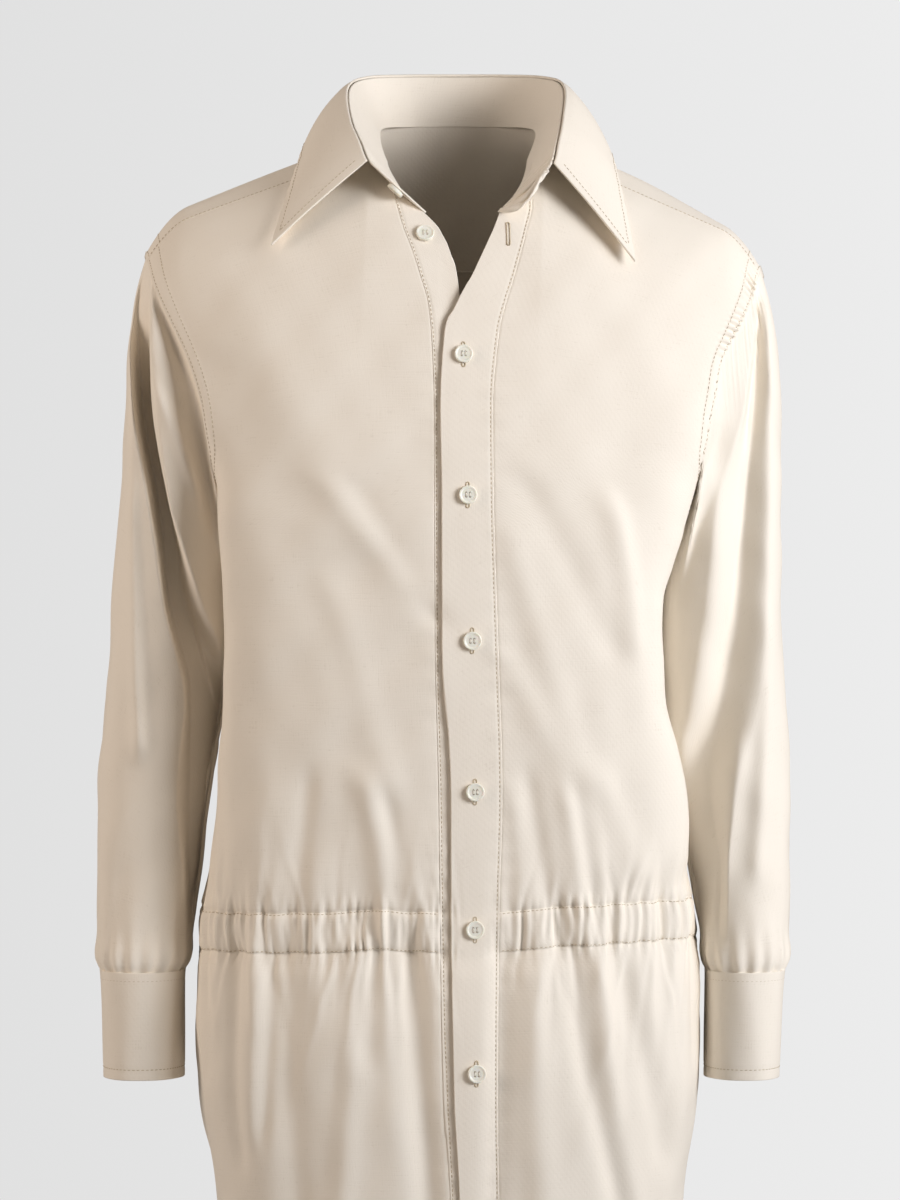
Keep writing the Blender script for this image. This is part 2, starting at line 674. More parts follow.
def brushed_twill(name="brushed_cotton_twill"):
    """Cotton twill, brushed on its face: matt, a soft nap at grazing light, faint slubs along
    the yarns and a diagonal line that is just seen."""
    material, tree = new_material(name)
    place = node(tree, "ShaderNodeUVMap", {"uv_map": "weave"})
    cloudy = node(tree, "ShaderNodeTexNoise", {}, {"Vector": place.outputs["UV"]},
                  Scale=30.0, Detail=2.0, Roughness=0.5)
    warp = node(tree, "ShaderNodeMapping", {}, {"Vector": place.outputs["UV"]}, Scale=(1100.0, 70.0, 1.0))
    warp_slubs = node(tree, "ShaderNodeTexNoise", {}, {"Vector": warp.outputs["Vector"]},
                      Scale=1.0, Detail=2.0, Roughness=0.6)
    weft = node(tree, "ShaderNodeMapping", {}, {"Vector": place.outputs["UV"]}, Scale=(60.0, 900.0, 1.0))
    weft_slubs = node(tree, "ShaderNodeTexNoise", {}, {"Vector": weft.outputs["Vector"]},
                      Scale=1.0, Detail=2.0, Roughness=0.6)
    twill = node(tree, "ShaderNodeMapping", {}, {"Vector": place.outputs["UV"]},
                 Rotation=(0.0, 0.0, math.radians(-38)))
    # The real twill line repeats every 0.7 mm; it is drawn every 1.6 mm so that it shows.
    lines = node(tree, "ShaderNodeTexWave", {"bands_direction": "X"}, {"Vector": twill.outputs["Vector"]},
                 Scale=1 / 0.0016 / 20 * math.pi, Distortion=1.5, Detail=2.0, Detail_Scale=3.0)
    slubs = node(tree, "ShaderNodeMath", {"operation": "ADD"},
                 {0: warp_slubs.outputs["Fac"], 1: weft_slubs.outputs["Fac"]})
    shade = node(tree, "ShaderNodeMath", {"operation": "MULTIPLY_ADD"},
                 {0: cloudy.outputs["Fac"], 2: slubs.outputs[0]})
    shade.inputs[1].default_value = 0.3
    ramp = node(tree, "ShaderNodeValToRGB", {}, {"Fac": shade.outputs[0]})
    ramp.color_ramp.elements[0].position = 0.6
    ramp.color_ramp.elements[0].color = linear("#e2d9ca")
    ramp.color_ramp.elements[1].position = 1.0
    ramp.color_ramp.elements[1].color = linear("#f1e9dc")
    nap = node(tree, "ShaderNodeTexNoise", {}, {"Vector": place.outputs["UV"]},
               Scale=1600.0, Detail=2.0, Roughness=0.7)
    relief = node(tree, "ShaderNodeMath", {"operation": "MULTIPLY_ADD"},
                  {0: lines.outputs["Fac"], 2: slubs.outputs[0]})
    relief.inputs[1].default_value = 0.25
    fibres = node(tree, "ShaderNodeMath", {"operation": "MULTIPLY_ADD"},
                  {0: nap.outputs["Fac"], 2: relief.outputs[0]})
    fibres.inputs[1].default_value = 0.5
    bump = node(tree, "ShaderNodeBump", {}, {"Height": fibres.outputs[0]}, Strength=0.35, Distance=0.00022)
    shader = node(tree, "ShaderNodeBsdfPrincipled", {},
                  {"Base Color": ramp.outputs["Color"], "Normal": bump.outputs["Normal"]},
                  Roughness=0.88, IOR=1.5, Sheen_Weight=0.22, Sheen_Roughness=0.45)
    shader.inputs["Sheen Tint"].default_value = linear("#fff6ea")
    shader.inputs["Specular IOR Level"].default_value = 0.25
    node(tree, "ShaderNodeOutputMaterial", {}, {"Surface": shader.outputs["BSDF"]})
    return material


twill_cloth = brushed_twill()


def finish_cloth(piece, cad_node):
    """Gives a piece its cloth and says what it stands for and how it was cut, in millimetres."""
    piece.data.materials.append(twill_cloth)
    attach(piece, "root")
    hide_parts(cad_node)


MIDDLE = (SWAY, 0, -350)
FRONT_CUTS = {RIGHT: (245, 545), LEFT: (225, 545)}
BODICE_END = CASING_TOP + SEAM_LAP
FINE = 1.9  # the points' distance across the gathered cloth
WIDE = 4.0  # and where the cloth is plain
PUCKER_STEP = 1.4
GATHER_STEP = 2.6
GATHER_START = 460

for side_name, side in SIDES:
    rows = np.concatenate([
        spaced(YOKE_FRONT - SEAM_LAP, PUCKER_END, PUCKER_STEP if side == LEFT else GRID, close_end=False),
        spaced(PUCKER_END, GATHER_START, WIDE, close_start=False, close_end=False)[1:],
        spaced(GATHER_START, BODICE_END, GATHER_STEP, close_start=False)[1:],
    ])
    columns = shares(FRONT_CUTS[side][0], FINE)
    points = front_surface(side)(columns[None, :], rows[:, None])
    piece = cloth_wall(f"front_{side_name}_twill", points, MIDDLE)
    finish_cloth(piece, f"front_{side_name}")

# The back: one panel of the same twill, cut from the yoke seam to the waist casing and sewn
# to the fronts under the arms and down the sides.


def back_surface(u, drop, lift=0.0):
    lift = lift + tuck(drop, YOKE_BACK)
    return body_points(BACK, mix(-1, 1, u) * (1 - seam_trim(BACK, drop)), drop, lift)


BACK_CUT = (430, 465)
rows = spaced(YOKE_BACK - SEAM_LAP, BODICE_END, WIDE)
points = back_surface(shares(BACK_CUT[0], WIDE)[None, :], rows[:, None])
finish_cloth(cloth_wall("back_twill", points, MIDDLE), "back")

# The waist casing: a band round the low waist, with elastic inside that gathers it. It ends
# at the plackets. Each of its three parts is sewn between the bodice and the skirt.

CASING_LENGTHS = {"right": 215, "left": 190, "back": 425}
CASING_STEPS = {"right": 1.3, "left": 1.3, "back": FINE}
CASING_LIFT = 0.12  # it lies on the bodice's and the skirt's edges
CASING_INSIDE = (SWAY, 0, -CASING_MIDDLE)
CASING_ROW_STEP = 1.6
casing_rows = spaced(CASING_TOP, CASING_BOTTOM, CASING_ROW_STEP)
for part, surface in (("right", front_surface(RIGHT)), ("left", front_surface(LEFT)), ("back", back_surface)):
    length = CASING_LENGTHS[part]
    points = surface(shares(length, CASING_STEPS[part])[None, :], casing_rows[:, None], CASING_LIFT)
    piece = cloth_wall(f"waist_casing_{part}_twill", points, CASING_INSIDE)
    finish_cloth(piece, f"waist_casing_{part}")

# The skirt: two fronts and a back of the same twill, gathered under the casing and sewn to it
# and to each other at the sides. The hem at the thigh is turned up and stitched.

SKIRT_CUTS = {RIGHT: (235, 420), LEFT: (205, 420)}
SKIRT_BACK_CUT = (480, 420)
SKIRT_INSIDE = (SWAY, 0, -800)
SKIRT_CALM = 700  # below it wider spaced points are enough
SKIRT_STEP = 6.0
HEM_STEP = 2.0
skirt_rows = np.concatenate([
    spaced(CASING_BOTTOM - SEAM_LAP, SKIRT_CALM, GATHER_STEP, close_end=False),
    spaced(SKIRT_CALM, HEM - HEM_DEPTH - 4, SKIRT_STEP, close_start=False, close_end=False)[1:],
    spaced(HEM - HEM_DEPTH - 3, HEM, HEM_STEP, close_start=False),
])
for side_name, side in SIDES:
    points = front_surface(side)(shares(SKIRT_CUTS[side][0], FINE)[None, :], skirt_rows[:, None])
    piece = cloth_wall(f"skirt_front_{side_name}_twill", points, SKIRT_INSIDE)
    finish_cloth(piece, f"skirt_front_{side_name}")
points = back_surface(shares(SKIRT_BACK_CUT[0], WIDE)[None, :], skirt_rows[:, None])
piece = cloth_wall("skirt_back_twill", points, SKIRT_INSIDE)
finish_cloth(piece, "skirt_back")

# The plackets: two doubled bands from the neck seam to the hem, the left one over the right
# one. Each is stitched along its inner edge, where the seam draws it into small puckers.

LAYER_LIFT = 2.4  # how far the upper placket stands off the lower one
PLACKET_STITCH = 1.6  # from the sewn edge
PLACKET_STEP = 1.6


def placket_surface(kind):
    side = -1 if kind == "lower" else 1

    def surface(u, stitch_drop):
        share = (stitch_drop - NECK_STITCH_DROP) / (HEM - NECK_STITCH_DROP)
        drop = mix(mix(NECK_FRONT_DROP, NECK_STITCH_DROP, u), HEM, share)
        free, stitched = placket_edges(f"{kind}_free", drop), placket_edges(f"{kind}_stitch", drop)
        x = mix(free, stitched, u)
        from_seam = np.abs(stitched - x)
        groove = -STITCH_DEPTH * hump(from_seam, PLACKET_STITCH, STITCH_GROOVE)
        lift = side * LAYER_LIFT * (1 - u) + placket_seam_lift(from_seam, drop) + groove
        return body_points(FRONT, share_at_x(drop, x), drop, lift)

    return surface


upper_placket = placket_surface("upper")
lower_placket = placket_surface("lower")
PLACKET_CUT = (36, 945)
placket_rows = spaced(NECK_STITCH_DROP, HEM)
for kind, surface in (("upper", upper_placket), ("lower", lower_placket)):
    points = surface(shares(PLACKET_CUT[0], PLACKET_STEP)[None, :], placket_rows[:, None])
    piece = cloth_wall(f"placket_{kind}_twill", points, MIDDLE)
    finish_cloth(piece, f"placket_{kind}")

# The collar: a stand round the neck and a long-pointed leaf folded down over it, both of two
# layers. The stand is sewn into the neck seam, and its ends carry on past the plackets.

DOUBLE_CLOTH = 1.5
DOUBLE_STEP = 2.5  # between the points of the doubled pieces
# Points from the plackets' corners round to the middle of the back: where the neck seam crosses
# the yoke, and along the upper edge of the stand and the outer edge of the leaf.
NECK_ON_YOKE = [[66, 5, 4], [55, 45, 12], [30, 68, 14], [0, 75, 15]]
FOLD_LINES = {
    LEFT: [[60, -80, -38], [67, -77, -29], [71, -66, -14], [75, -46, 5],
           [77, 0, 34], [64, 42, 45], [36, 66, 49], [0, 74, 50]],
    RIGHT: [[-54, -79, -34], [-61, -76, -27], [-67, -66, -13], [-74, -46, 4],
            [-77, 0, 33], [-64, 42, 45], [-36, 66, 49], [0, 74, 50]],
}
LEAF_EDGES = {
    LEFT: [[126, -84, -97], [121, -58, -62], [116, -24, -31], [112, 16, -16],
           [86, 62, -9], [46, 85, -7], [0, 92, -6]],
    RIGHT: [[-130, -80, -85], [-121, -56, -51], [-114, -24, -24], [-109, 16, -9],
            [-86, 62, -8], [-46, 85, -7], [0, 92, -6]],
}
STATIONS = 7
NECK_DIP = -1.5  # the stand's lower edge lies this far under the neck seam
# The open stand leans out, so that its foot lies this far inside the neck seam at the stations.
STAND_FOOT = {RIGHT: [0, 3.5, 8, 14, 10, 4, 0, 0], LEFT: [0, 7, 7.5, 12, 7, 4, 0, 0]}
END_CURL = (3, -11, -8)  # how the middle of the stand's left end hangs out


def curve_points(points, places):
    """A smooth curve through points, at places from 0 to 1 counted along its points."""
    points = np.asarray(points, float)
    ends = [2 * points[0] - points[1], *points, 2 * points[-1] - points[-2]]
    ends = np.array(ends)
    last = len(points) - 1
    places = np.clip(np.asarray(places, float), 0, 1) * last
    k = np.minimum(places.astype(int), last - 1)
    t = (places - k)[..., None]
    a, b, c, d = (ends[k + offset] for offset in range(4))
    gap_1, gap_2, gap_3 = (
        np.sqrt(np.linalg.norm(far - near, axis=-1))[..., None] for near, far in ((a, b), (b, c), (c, d))
    )
    start = ((b - a) / gap_1 - (c - a) / (gap_1 + gap_2) + (c - b) / gap_2) * gap_2
    end = ((c - b) / gap_2 - (d - b) / (gap_2 + gap_3) + (d - c) / gap_3) * gap_2
    return b + start * t + (3 * (c - b) - 2 * start - end) * t**2 + (2 * (b - c) + start + end) * t**3


def neck_points(side):
    placket = upper_placket if side == LEFT else lower_placket
    on_placket = placket(np.array([0, 0.5, 1]), np.full(3, NECK_STITCH_DROP))
    corner = body_points(FRONT, share_at_x(YOKE_FRONT, side * NECK_HALF_WIDTH), YOKE_FRONT)
    on_yoke = [[side * x, y, z] for x, y, z in NECK_ON_YOKE]
    return [*on_placket, corner, *on_yoke]


def both_sides(rows):
    """One row of points from the right front end over the back to the left front end."""
    return np.array([*rows[RIGHT], *rows[LEFT][-2::-1]])


NECK_LINE = both_sides({side: neck_points(side) for side in (RIGHT, LEFT)})
FOLD_LINE = both_sides(FOLD_LINES)
LEAF_EDGE = both_sides(LEAF_EDGES)
foot_reach = np.array([*STAND_FOOT[RIGHT], *STAND_FOOT[LEFT][-2::-1]], float)
STAND_LENGTH = 520
STAND_AXIS_Y = 12.0  # the stand leans in towards an upright line here
STAND_LEAN = -0.35
STAND_WRINKLE = 2.8  # the left end of the stand is crumpled
WRINKLE_START = (0.84, 0.9)  # shares of the stand's length, as the next ones
WRINKLE_FULL = (0.92, 0.95)
WRINKLE_WEAK = 0.35
SCALLOP = 1.5  # its lower edge is crumpled too
SCALLOP_START = (0.9, 0.94)
CURL_START = 0.955
STAND_WAVE = 0.5  # the right end is only a little uneven


def stand_surface(u, v):
    base, fold = curve_points(NECK_LINE, u), curve_points(FOLD_LINE, u)
    height = np.linalg.norm(fold - base, axis=-1)
    reach = np.interp(u * 2 * STATIONS, np.arange(2 * STATIONS + 1), foot_reach)
    middle = np.array([0, STAND_AXIS_Y, 0]) - base
    middle[..., 2] = STAND_LEAN * np.linalg.norm(middle[..., :2], axis=-1)
    middle /= np.linalg.norm(middle, axis=-1, keepdims=True)
    along = u * STAND_LENGTH
    at_end = smooth(*SCALLOP_START, u) * smooth(0, 1, (1 - u) * 60)
    scallop = SCALLOP * np.cos(along / 1.1 + np.sin(along / 4)) * at_end
    base = base + middle * (reach + scallop)[..., None]
    point = mix(base, fold, mix(NECK_DIP / height, 1, v)[..., None])
    belly = np.sin(np.pi * v)
    curl = smooth(CURL_START, 1, u) * belly
    point = point + curl[..., None] * np.array(END_CURL, float)
    wrinkle = np.cos(along / 2.0 + 4 * v + np.sin(along / 5)) + 0.5 * np.cos(along / 1.3 - 5 * v)
    crumpled = mix(WRINKLE_WEAK, 1, smooth(*WRINKLE_FULL, u)) * smooth(*WRINKLE_START, u) * mix(0.4, 1, belly)
    point[..., 1] -= STAND_WRINKLE * wrinkle * crumpled
    point[..., 1] -= STAND_WAVE * np.cos(along / 9) * belly * smooth(0.3, 0.1, u)
    return point


STAND_CUT = (500, 36)
STAND_INSIDE = (0, 0, 25)
CRUMPLED_LENGTH = 80  # closer points take the crumples
crumpled_end = 1 - shares(CRUMPLED_LENGTH, 1.0)[::-1] * CRUMPLED_LENGTH / STAND_LENGTH
even_part = shares(STAND_CUT[0], DOUBLE_STEP)
even_part = even_part[even_part < crumpled_end[0]]
u, v = np.meshgrid([*even_part, *crumpled_end], shares(STAND_CUT[1], DOUBLE_STEP))
piece = cloth_wall("collar_stand_twill", stand_surface(u, v), STAND_INSIDE, DOUBLE_CLOTH)
finish_cloth(piece, "collar_stand")

LEAF_RISE = 2.4  # the fold passes over the stand's upper edge
LEAF_START = -1  # from just inside that edge
LEAF_ROLL = 2.6  # to just outside it
FOLD_SHARE = 0.08  # the leaf turns over the stand within this share of its depth
LEAF_BELLY = 6  # the leaf is convex between its fold and its edge
LEAF_END_BELLY = 2  # and flatter at its points
LEAF_ENDS = 0.16  # the shares of its length that count as its points
LEAF_STITCH = 6.5  # from the edge
LEAF_LENGTH = 560
LEAF_PUCKER = 0.3  # the topstitching draws the edge up a little


def leaf_surface(u, v):
    first = 1 / (2 * STATIONS)
    station = mix(first, 1 - first, np.clip(u, 0, 1))
    fold = curve_points(FOLD_LINE, station)
    edge = curve_points(LEAF_EDGE, u)
    upwards = fold - curve_points(NECK_LINE, station)
    upwards /= np.linalg.norm(upwards, axis=-1, keepdims=True)
    away = edge - fold
    away -= upwards * (away * upwards).sum(axis=-1, keepdims=True)
    away /= np.linalg.norm(away, axis=-1, keepdims=True)
    inward = smooth(0, LEAF_ENDS, u) * smooth(1, 1 - LEAF_ENDS, u)
    belly = mix(LEAF_END_BELLY, LEAF_BELLY, inward) * 4 * v * (1 - v)
    roll = mix(LEAF_START, LEAF_ROLL, smooth(-FOLD_SHARE / 2, FOLD_SHARE, v))
    pucker = LEAF_PUCKER * np.cos(u * LEAF_LENGTH / 2.3 + np.sin(u * 60)) * smooth(0.72, 1, v)
    point = mix(fold, edge, v[..., None])
    point = point + away * (roll * (1 - v) + 0.6 * belly + pucker)[..., None]
    point = point + upwards * (LEAF_RISE * (1 - v))[..., None]
    point[..., 2] += 0.8 * belly
    return point


LEAF_INSIDE = (0, 0, -20)
LEAF_DEPTH = 70
LEAF_STEP = 2.2
below_fold = mix(FOLD_SHARE, 1, shares(LEAF_DEPTH, LEAF_STEP, close_start=False))
leaf_down = np.concatenate([np.linspace(0, FOLD_SHARE, 7)[:-1], below_fold])
u, v = np.meshgrid(shares(LEAF_LENGTH, DOUBLE_STEP), leaf_down)
piece = cloth_wall("collar_leaf_twill", leaf_surface(u, v), LEAF_INSIDE, DOUBLE_CLOTH)
finish_cloth(piece, "collar_leaf")

# The yoke: one piece over both shoulders and behind the neck. Its front seams lie a little in
# front of the shoulders and its back seam across the shoulder blades.

YOKE_NECK_END = 0.4  # the share of a half's front edge that lies along the neck
YOKE_BACK_NECK = 0.3  # and the share of its back edge under it
YOKE_EDGE = 0.999  # just inside the armhole's edge
YOKE_MEND = 0.65  # from here on it is drawn to the armhole
YOKE_INSIDE = (0, 0, -200)
RIDGE_SHARE = 0.26  # of its armhole edge, in front of the shoulder's ridge
BACK_POWER = 1.6  # behind the ridge its points lie closer at the ridge
# How far a line of the yoke bends from its front end, at three places on its way to its back end,
# by the station at the neck where it starts.
yoke_bends = table_reader(
    ["y1", "z1", "y2", "z2", "y3", "z3"],
    [
        [4, 14, -3, 41, -12, 75, -42],
        [5, 8, -7, 22, -23, 37, -55],
        [6, 4, -10, 10, -30, 17, -62],
        [7, 3, -12, 7, -32, 12, -65],
    ],
)


def yoke_armhole(side, v):
    behind = v > RIDGE_SHARE
    part = np.where(behind, (v - RIDGE_SHARE) / (1 - RIDGE_SHARE), (RIDGE_SHARE - v) / RIDGE_SHARE)
    part = np.maximum(part, 0)
    drop = np.where(behind, YOKE_BACK * part**BACK_POWER, YOKE_FRONT * part**2)
    share = np.full_like(v, side * YOKE_EDGE)
    in_front, in_back = body_points(FRONT, share, drop), body_points(BACK, share, drop)
    return np.where(behind[:, None], in_back, in_front)


def yoke_column(side, across):
    """The five points that one line of the yoke runs through, from its front to its back edge."""
    on_front = (across - YOKE_NECK_END) / (1 - YOKE_NECK_END)
    neck_share = min(1, across / YOKE_NECK_END)
    station = mix(STATIONS, 3, neck_share)

    def neck_at(place):
        share = place / (2 * STATIONS)
        return curve_points(NECK_LINE, share if side == RIGHT else 1 - share)

    front_share = mix(share_at_x(YOKE_FRONT, side * NECK_HALF_WIDTH), side * YOKE_EDGE, on_front)
    top = neck_at(station) if on_front < 0 else body_points(FRONT, front_share, YOKE_FRONT)
    back_share = YOKE_BACK_NECK * neck_share if on_front < 0 else mix(YOKE_BACK_NECK, YOKE_EDGE, on_front)
    bottom = body_points(BACK, side * back_share, YOKE_BACK)

    def neck_bends(start, place):
        bends = [[0, yoke_bends(f"y{k}", place), yoke_bends(f"z{k}", place)] for k in (1, 2, 3)]
        return start + np.array(bends, float)

    if station > 4:
        bends = neck_bends(top, station)
    else:
        ridge = float(shoulder_line(top[0]))
        fall = ridge - bottom[2]
        bends = np.array([
            [top[0], 0, ridge],
            [mix(top[0], bottom[0], 0.4), 0.5 * bottom[1], ridge - 0.1 * fall],
            [mix(top[0], bottom[0], 0.7), 0.87 * bottom[1], ridge - 0.42 * fall],
        ])
        if station > 3:
            bends = mix(bends, neck_bends(neck_at(4), 4), station - 3)
    return np.array([top, *bends, bottom])


def even_curve(points, places):
    """Points at even lengths along a smooth curve."""
    steps = np.linspace(0, 1, 201)
    pieces = np.linalg.norm(np.diff(curve_points(points, steps), axis=0), axis=1)
    lengths = np.concatenate([[0], np.cumsum(pieces)])
    return curve_points(points, np.interp(np.asarray(places) * lengths[-1], lengths, steps))


def yoke_points(us, vs):
    columns = []
    mends = {}
    for side in (RIGHT, LEFT):
        mends[side] = yoke_armhole(side, vs) - even_curve(yoke_column(side, 1.0), vs)
    for u in us:
        side = RIGHT if u < 0 else LEFT
        across = abs(u)
        line = even_curve(yoke_column(side, across), vs)
        columns.append(line + mends[side] * smooth(YOKE_MEND, 1, across))
    return np.stack(columns, axis=1)


YOKE_HALF = 240  # from the middle of the back to an armhole, along the cloth
YOKE_SPANS = (330, 160)  # its points are counted over these lengths, across a half and down
YOKE_STEPS = (3.6, 3.4)
half = shares(YOKE_SPANS[0], YOKE_STEPS[0], close_start=False)
yoke_across = np.concatenate([-half[:0:-1], half])
yoke_down = shares(YOKE_SPANS[1], YOKE_STEPS[1])
yoke_grid = yoke_points(yoke_across, yoke_down)
finish_cloth(cloth_wall("yoke_twill", yoke_grid, YOKE_INSIDE), "yoke")


def yoke_surface(u, v):
    """The yoke between the points worked out for it."""
    column = np.interp(u, yoke_across, np.arange(len(yoke_across)))
    row = np.interp(v, yoke_down, np.arange(len(yoke_down)))
    k = np.clip(column.astype(int), 0, len(yoke_across) - 2)
    j = np.clip(row.astype(int), 0, len(yoke_down) - 2)
    across, down = (column - k)[..., None], (row - j)[..., None]
    upper = mix(yoke_grid[j, k], yoke_grid[j, k + 1], across)
    lower = mix(yoke_grid[j + 1, k], yoke_grid[j + 1, k + 1], across)
    return mix(upper, lower, down)


# The sleeves: full-length, set into the dropped armholes, hanging nearly straight and a
# little long, so that they fold down their length and blouse over the cuffs.

CUFF_TOP = 599
CUFF_BOTTOM = 675.1
SLEEVE_END = 600.2
SLEEVE_TUCK = 1.7  # it runs this far under the body's edge at the armhole, and as much lower
ARMHOLE_LOW = 190  # below this drop the sleeve comes out from under the body's edge
BODY_HALF = 200  # about the length of half a row of the body
BACK_FOLD_SHIFT = 60  # the folds behind repeat those in front, lower and softer
BACK_FOLD_SHARE = 0.7
SLEEVE_SQUARE = 0.85  # below 1 flattens the sleeve's front and back
SLEEVE_COLUMNS = ("outer", "half_width", "half_depth", "middle_y")
sleeve_rows = {
    RIGHT: table_reader(SLEEVE_COLUMNS, [
        [88, 228, 44, 56, 0],
        [133, 235, 45, 59, 2],
        [190, 238, 45, 61, 4],
        [262, 242, 43.5, 61, 8],
        [335, 248, 43.5, 59, 11],
        [407, 253, 43, 56, 12],
        [479, 258, 40, 51, 8],
        [551, 258, 35.5, 47, 0],
        [588, 257, 32.8, 44, -8],
        [605, 255.5, 30.8, 42, -12],
        [681, 252, 28.5, 40, -16],
    ]),
    LEFT: table_reader(SLEEVE_COLUMNS, [
        [88, 225, 44, 56, 0],
        [133, 231, 45, 58, 2],
        [190, 234, 45, 60, 4],
        [262, 234, 44, 60, 8],
        [335, 235, 44, 58, 11],
        [407, 238, 44, 55, 12],
        [479, 241, 41, 50, 8],
        [551, 240, 34, 46, 0],
        [588, 238, 30.5, 43, -8],
        [605, 236, 29, 41, -12],
        [681, 231, 26.5, 39, -16],
    ]),
}
# A long gutter runs down each sleeve between its outer lobe and the cloth beside the body: where
# its outer and inner walls stand, how far from the middle, its depth, and how soft the walls are.
GUTTER_COLUMNS = ("outer", "inner", "depth", "outer_soft", "inner_soft")
sleeve_gutters = {
    RIGHT: table_reader(GUTTER_COLUMNS, [
        [90, 232, 224, 4, 4, 1.5],
        [130, 232, 220, 18, 3, 1.3],
        [193, 228, 217, 36, 3, 1.3],
        [264, 216, 205, 36, 3, 1.5],
        [300, 211, 196, 34, 2, 4],
        [335, 207, 188, 32, 1.0, 8],
        [405, 192, 160, 34, 1.0, 10],
        [475, 195, 150, 24, 4, 10],
        [530, 193, 150, 22, 1.5, 8],
        [590, 190, 150, 3, 4, 8],
    ]),
    LEFT: table_reader(GUTTER_COLUMNS, [
        [90, 224, 214, 3, 6, 3],
        [125, 222, 217, 12, 5, 1.8],
        [193, 217, 207.5, 18, 9, 2.0],
        [264, 212, 196, 20, 12, 12],
        [335, 210, 190, 22, 13, 14],
        [405, 202, 178, 22, 15, 14],
        [475, 190, 160, 18, 9, 12],
        [530, 191, 155, 16, 2, 8],
        [590, 189, 155, 3, 4, 8],
    ]),
}
SLEEVE_FOLDS = {
    RIGHT: [
        [-220, -100, -203, -264, -178, -389, 4.5, 1.5, 7.0],
        [-233, -140, -231, -290, -226, -430, 7.0, 6, 1.0],
        [-207, -197, -191, -234, -166, -291, 4.0, 6, 1.0],
        [-205, -135, -188, -195, -172, -270, -16.0, 7, 1.0],
        [-240, -540, -240, -575, -236, -598, -2.5, 8, 1.0],
    ],
    LEFT: [
        [219, -100, 207, -230, 196, -330, 2.5, 9, 0.2],
        [226, -150, 226, -350, 215, -520, 5.0, 8, 1.0],
        [199, -446, 191, -507, 178, -577, 3.0, 7, 1.0],
        [182, -228, 178, -236, 172, -246, -4.0, 6, 1.0],
        [183, -260, 186, -330, 180, -400, 2.0, 9, 1.0],
    ],
}


def gutter_lift(side, x, z):
    row = sleeve_gutters[side]
    away = side * x
    outer, outer_soft = row("outer", -z), row("outer_soft", -z)
    inner, inner_soft = row("inner", -z), row("inner_soft", -z)
    inside_outer = 1 - smooth(outer - outer_soft, outer + outer_soft, away)
    outside_inner = smooth(inner - inner_soft, inner + inner_soft, away)
    return -row("depth", -z) * inside_outer * outside_inner


def sleeve_section(side, turn, z, lift=0.0):
    """turn is the angle round the sleeve: 0 outside, a quarter in front, a half towards the body."""
    row = sleeve_rows[side]
    half_width = row("half_width", -z)
    x = row("outer", -z) - half_width + (half_width + lift) * np.cos(turn)
    depth = np.sign(np.sin(turn)) * np.abs(np.sin(turn)) ** SLEEVE_SQUARE
    y = row("middle_y", -z) - (row("half_depth", -z) + lift) * depth
    return np.stack(np.broadcast_arrays(side * x, y, z), axis=-1)


def armhole_points(side, turn):
    drop = UNDERARM * (1 - np.cos(turn)) / 2
    in_front = (np.sin(turn) >= 0)[..., None]
    below = smooth(ARMHOLE_LOW, UNDERARM, drop)
    share = side * (1 - SLEEVE_TUCK * (1 - below) / BODY_HALF)
    lift = -SLEEVE_TUCK * (1 - below)
    edge = np.where(in_front, body_points(FRONT, share, drop, lift), body_points(BACK, share, drop, lift))
    edge[..., 0] += side * below
    return edge


SLEEVE_FALL = {RIGHT: (45, 55), LEFT: (75, 90)}  # it hangs straight this far under the armhole
TUCKS = 17  # small tucks where the sleeve is gathered into its cuff
TUCK_HEIGHT = 1.1
BLOUSE = 1.6  # the sleeve stands out a little above the cuff


def sleeve_surface(side):
    def folds(x, z):
        return fold_lift(SLEEVE_FOLDS[side], x, z) + gutter_lift(side, x, z)

    def surface(u, v):
        u, v = np.broadcast_arrays(np.asarray(u, float), np.asarray(v, float))
        turn = 2 * np.pi * u
        top = armhole_points(side, turn)
        z = mix(top[..., 2], -SLEEVE_END, v)
        fallen = top[..., 2] - z
        above_cuff = z + SLEEVE_END
        calm = smooth(0, 18, fallen) * smooth(0, 45, above_cuff)
        tucks = TUCK_HEIGHT * np.cos(2 * np.pi * u * TUCKS + 1.2 * np.sin(9 * u)) * hump(above_cuff, 4, 22)
        blouse = BLOUSE * hump(above_cuff, 13, 9) - SLEEVE_TUCK * smooth(7, 1, above_cuff)
        section = sleeve_section(side, turn, z, rumple(300 * u + side * 40, z) * calm + tucks + blouse)
        blend = smooth(0, 1, fallen / mix(*SLEEVE_FALL[side], smooth(-0.3, -1, np.cos(turn))))
        blend = mix(blend, 1 - np.exp(-fallen / 22), smooth(0.2, 0.9, np.cos(turn)))
        point = mix(top, section, blend[..., None])
        facing = np.sin(turn)
        x = section[..., 0]
        height = np.where(facing > 0, folds(x, z), BACK_FOLD_SHARE * folds(x, z + BACK_FOLD_SHIFT))
        point[..., 1] -= np.sign(facing) * height * smooth(0.05, 0.4, np.abs(facing)) * calm
        point[..., 2] = z
        return point

    return surface


SLEEVE_INSIDE = {side: (side * 205, 8, -345) for side in (RIGHT, LEFT)}
SLEEVE_LENGTH = 510
SLEEVE_STEP = 3.8
SLEEVE_FRONT_COLUMNS = 131  # the folds in front need closer points than those behind
SLEEVE_BACK_COLUMNS = 56
in_front = np.linspace(0, 0.5, SLEEVE_FRONT_COLUMNS)
behind = np.linspace(0.5, 1, SLEEVE_BACK_COLUMNS)
for side_name, side in SIDES:
    u, v = np.meshgrid([*in_front, *behind[1:]], shares(SLEEVE_LENGTH, SLEEVE_STEP))
    points = sleeve_surface(side)(u, v)
    piece = cloth_wall(f"sleeve_{side_name}_twill", points, SLEEVE_INSIDE[side], ring=True)
    finish_cloth(piece, f"sleeve_{side_name}")

